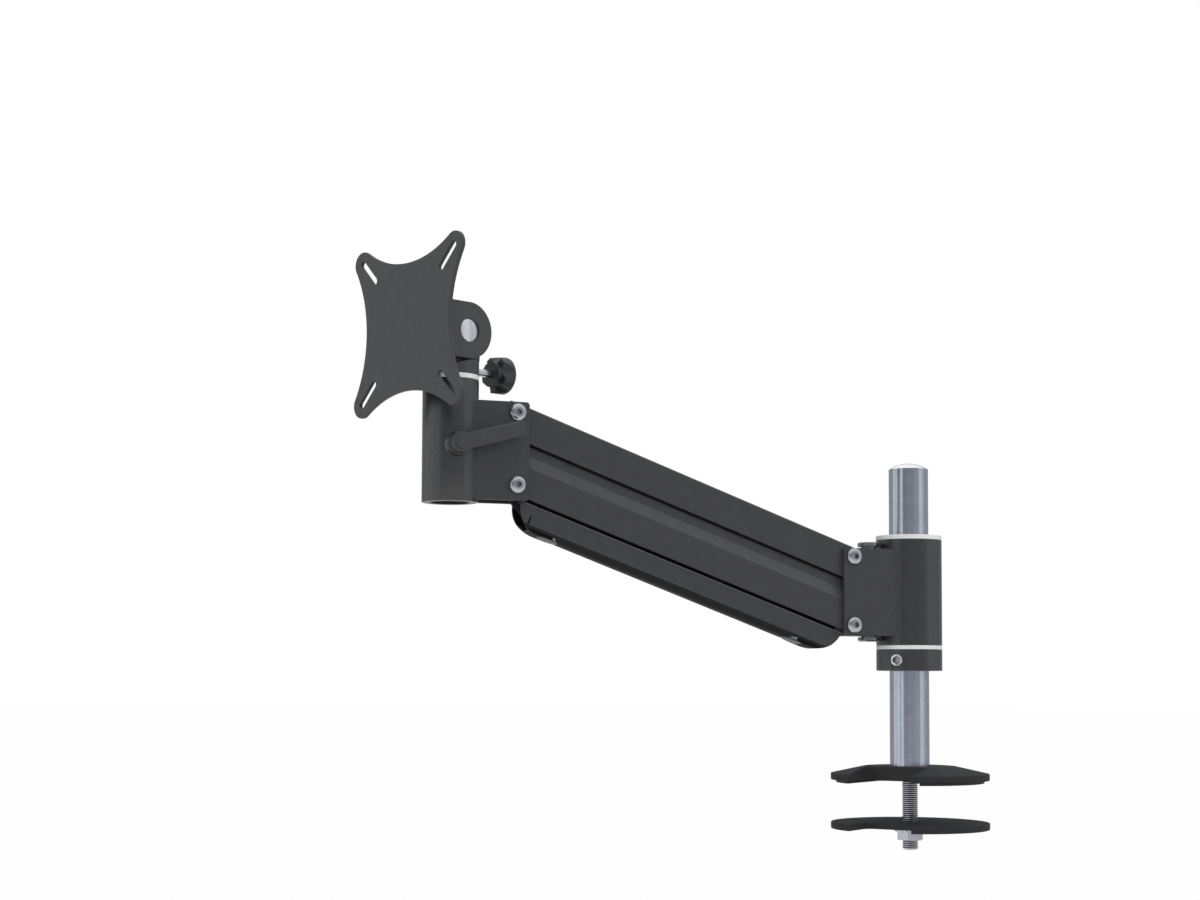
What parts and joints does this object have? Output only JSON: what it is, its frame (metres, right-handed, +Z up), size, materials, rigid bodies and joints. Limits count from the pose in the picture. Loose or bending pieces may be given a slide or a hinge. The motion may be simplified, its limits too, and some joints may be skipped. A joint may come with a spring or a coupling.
{
  "type": "monitor arm",
  "caption": "Desk-clamped monitor arm: round post with height collar, swivel, spring-balanced parallel link arm, and a panning, tilting head with a slotted screen plate.",
  "frame": {"origin": "on the post axis, at the desk surface, which is the underside of the pad under the upper clamp plate", "axes": "+Z up along the post; the screen plate's front faces -Y; the arm hangs in the upright plane that is turned 23.5 degrees from -Y towards -X"},
  "size_m": [0.2659, 0.4363, 0.4335],
  "materials": {
    "black_steel": "anthracite black powder coat on steel, fine texture",
    "black_alloy": "anthracite black powder coat on machined aluminium",
    "bright_post": "satin chrome",
    "zinc_steel": "bright zinc",
    "dark_screw": "bright machined steel",
    "spring_tube": "black paint",
    "spring_rod_chrome": "polished",
    "white_nylon": "white nylon, smooth",
    "black_plastic": "black moulded plastic, fine grain",
    "black_rubber": "matt"
  },
  "bodies": {
    "mast": {"desk_plate": "black_steel", "desk_pad": "black_rubber", "clamp_rod": "zinc_steel", "post_foot": "zinc_steel", "post_tube": "bright_post", "post_cap": "bright_post"},
    "lower_clamp": {"lower_plate": "black_steel", "clamp_washer": "zinc_steel", "clamp_nut": "zinc_steel"},
    "collar": {"height_collar": "black_alloy", "collar_screw": "dark_screw"},
    "swivel": {"swivel_housing": "black_alloy", "upper_bush": "white_nylon", "lower_bush": "white_nylon", "base_side_plates": "black_steel", "base_webs": "black_steel", "spring_spindle": "zinc_steel", "spring_anchor": "zinc_steel", "base_pivot_barrel": "zinc_steel", "base_pivot_screw": "zinc_steel", "base_lower_pin": "zinc_steel", "base_friction_screws": "zinc_steel", "base_friction_pads": "white_nylon"},
    "upper_arm": {"upper_link": "black_steel", "upper_link_bushes": "white_nylon", "spring_pin": "zinc_steel"},
    "lower_arm": {"lower_link": "black_steel", "lower_link_bushes": "white_nylon", "lower_link_screws": "zinc_steel"},
    "head": {"head_tube": "black_alloy", "head_side_plates": "black_steel", "head_lug": "black_alloy", "head_bush": "white_nylon", "head_pivot_barrel": "zinc_steel", "head_pivot_screw": "zinc_steel", "head_lower_pin": "zinc_steel", "head_friction_screws": "zinc_steel", "head_friction_pads": "white_nylon"},
    "spring_body": {"spring_cylinder": "spring_tube"},
    "spring_end": {"spring_rod": "spring_rod_chrome", "spring_fork": "zinc_steel"},
    "lever": {"clamp_lever": "black_plastic", "lever_stud": "zinc_steel"},
    "pan": {"pan_spindle": "zinc_steel", "pan_clip": "zinc_steel", "pan_knuckle": "black_alloy", "tilt_bush": "white_nylon"},
    "knob": {"lock_knob": "black_plastic", "knob_screw": "zinc_steel"},
    "tilt": {"screen_plate": "black_steel", "tilt_ears": "black_steel", "tilt_pin": "zinc_steel"}
  },
  "joints": [
    {"name": "lower_clamp_slide", "type": "slide", "parent": "mast", "child": "lower_clamp", "axis": [0, 0, 1], "range_m": [-0.006, 0.028]},
    {"name": "collar_slide", "type": "slide", "parent": "mast", "child": "collar", "axis": [0, 0, 1], "range_m": [-0.07, 0.05]},
    {"name": "swivel_turn", "type": "hinge", "parent": "collar", "child": "swivel", "pos_m": [0, 0, 0.1012], "axis": [0, 0, 1], "continuous": true},
    {"name": "arm_lift", "type": "hinge", "parent": "swivel", "child": "upper_arm", "pos_m": [-0.02193, -0.05044, 0.1706], "axis": [-0.9171, 0.3987, 0], "range_deg": [-39.8, 15.2]},
    {"name": "lower_link_turn", "type": "hinge", "parent": "swivel", "child": "lower_arm", "pos_m": [-0.02193, -0.05044, 0.1191], "axis": [-0.9171, 0.3987, 0], "range_deg": [-39.8, 15.2]},
    {"name": "head_level", "type": "hinge", "parent": "upper_arm", "child": "head", "pos_m": [-0.12811, -0.29462, 0.26646], "axis": [-0.9171, 0.3987, 0], "range_deg": [-15.2, 39.8]},
    {"name": "spring_turn", "type": "hinge", "parent": "upper_arm", "child": "spring_body", "pos_m": [-0.11092, -0.25511, 0.22969], "axis": [-0.9171, 0.3987, 0], "range_deg": [-2, 4]},
    {"name": "spring_slide", "type": "slide", "parent": "spring_body", "child": "spring_end", "axis": [0.3752, 0.8628, -0.3389], "range_m": [-0.018, 0.007]},
    {"name": "lever_turn", "type": "hinge", "parent": "head", "child": "lever", "pos_m": [-0.14605, -0.33589, 0.24176], "axis": [0.9171, -0.3987, 0], "range_deg": [-45, 90]},
    {"name": "pan_turn", "type": "hinge", "parent": "head", "child": "pan", "pos_m": [-0.14605, -0.33589, 0.28876], "axis": [0, 0, 1], "range_deg": [-110, 65]},
    {"name": "knob_turn", "type": "hinge", "parent": "pan", "child": "knob", "pos_m": [-0.14605, -0.33589, 0.29726], "axis": [0, 1, 0], "continuous": true},
    {"name": "tilt_turn", "type": "hinge", "parent": "pan", "child": "tilt", "pos_m": [-0.14605, -0.33589, 0.32256], "axis": [-1, 0, 0], "range_deg": [-12, 60]}
  ],
  "couplings": [
    {"joint": "lower_link_turn", "follows": "arm_lift", "ratio": 1},
    {"joint": "head_level", "follows": "arm_lift", "ratio": -1},
    {"joint": "spring_turn", "follows": "arm_lift", "ratio": -0.092},
    {"joint": "spring_slide", "follows": "arm_lift", "m_per_rad": 0.025}
  ]
}
